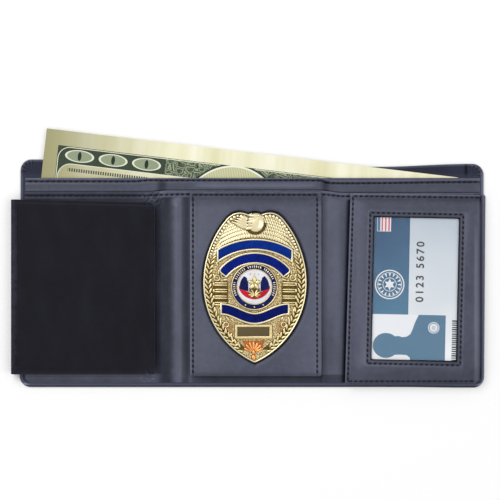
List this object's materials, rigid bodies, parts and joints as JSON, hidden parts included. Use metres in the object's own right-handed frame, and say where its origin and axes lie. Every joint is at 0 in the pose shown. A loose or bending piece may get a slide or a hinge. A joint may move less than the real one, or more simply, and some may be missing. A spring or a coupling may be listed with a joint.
{
  "type": "id badge wallet",
  "caption": "Tri-fold leather wallet, open, with a pinned metal badge in a shaped cut-out, a card behind a clear window, a cover flap and a bill compartment.",
  "frame": {"origin": "middle of the centre panel's outer face, which lies on the table", "axes": "+X to the right panel with the card window, +Y to the open top of the bill compartment, +Z out of the inside faces, away from the table"},
  "size_m": [0.2246, 0.1227, 0.0071],
  "materials": {
    "navy_leather": "smooth split leather with a soft sheen",
    "lining_cloth": "fine matt lining",
    "black_leather": "matt black leather",
    "stiffening_board": "grey board, covered",
    "felt": "black felt",
    "gold_plate": "polished gold plate over stamped brass",
    "blue_enamel": "glossy enamel fill",
    "navy_enamel": "glossy enamel fill",
    "white_enamel": "glossy enamel fill",
    "bronze_paint": "satin brown paint",
    "pin_steel": "nickel-plated steel",
    "clear_vinyl": "clear soft vinyl",
    "card_plastic": "printed plastic card",
    "note_paper": "printed paper",
    "thread": "waxed thread"
  },
  "bodies": {
    "centre": {"cover_centre": "navy_leather", "cover_fold_left": "navy_leather", "cover_fold_right": "navy_leather", "lining_centre": "lining_cloth", "lining_fold_left": "lining_cloth", "lining_fold_right": "lining_cloth", "inner_wall_centre": "navy_leather", "inner_wall_fold_left": "navy_leather", "inner_wall_fold_right": "navy_leather", "facing_centre": "navy_leather", "facing_fold_left": "navy_leather", "facing_fold_right": "navy_leather", "badge_board": "stiffening_board", "badge_panel": "navy_leather", "badge_backing": "felt", "badge_shell": "gold_plate", "badge_crest": "gold_plate", "badge_relief": "gold_plate", "banner_frames": "gold_plate", "enamel_top": "blue_enamel", "enamel_middle": "blue_enamel", "enamel_bottom": "blue_enamel", "seal_ring": "navy_enamel", "seal_disc": "white_enamel", "seal_star": "gold_plate", "number_frame": "gold_plate", "number_plate": "bronze_paint", "badge_pin": "pin_steel", "pin_hinge": "pin_steel", "pin_catch": "pin_steel", "banknote": "note_paper", "stitches_centre": "thread", "stitches_fold_left": "thread", "stitches_fold_right": "thread", "badge_panel_stitches": "thread"},
    "left_panel": {"cover_left": "navy_leather", "lining_left": "lining_cloth", "inner_wall_left": "navy_leather", "facing_left": "navy_leather", "card_pocket_back": "navy_leather", "card_pocket_middle": "navy_leather", "card_pocket_front": "navy_leather", "flap_roll": "black_leather", "stitches_left": "thread"},
    "flap": {"flap_cover": "black_leather", "flap_board": "stiffening_board", "flap_lining": "lining_cloth"},
    "right_panel": {"cover_right": "navy_leather", "lining_right": "lining_cloth", "inner_wall_right": "navy_leather", "facing_right": "navy_leather", "window_spacer": "navy_leather", "window_pane": "clear_vinyl", "window_panel": "navy_leather", "stitches_right": "thread", "window_stitches": "thread"},
    "card": {"id_card": "card_plastic"}
  },
  "joints": [
    {"name": "left_fold", "type": "hinge", "parent": "centre", "child": "left_panel", "pos_m": [-0.0411, 0, 0.01003], "axis": [0, 1, 0], "range_deg": [0, 180], "deforming": ["cover_fold_left", "lining_fold_left", "inner_wall_fold_left", "facing_fold_left", "stitches_fold_left", "banknote"]},
    {"name": "right_fold", "type": "hinge", "parent": "centre", "child": "right_panel", "pos_m": [0.0379, 0, 0.00643], "axis": [0, -1, 0], "range_deg": [0, 180], "deforming": ["cover_fold_right", "lining_fold_right", "inner_wall_fold_right", "facing_fold_right", "stitches_fold_right", "banknote"]},
    {"name": "flap_hinge", "type": "hinge", "parent": "left_panel", "child": "flap", "pos_m": [-0.1128, 0, 0.00335], "axis": [0, -1, 0], "range_deg": [0, 180], "deforming": ["flap_roll"]},
    {"name": "card_slide", "type": "slide", "parent": "right_panel", "child": "card", "axis": [0, 1, 0], "range_m": [0, 0.088]}
  ]
}
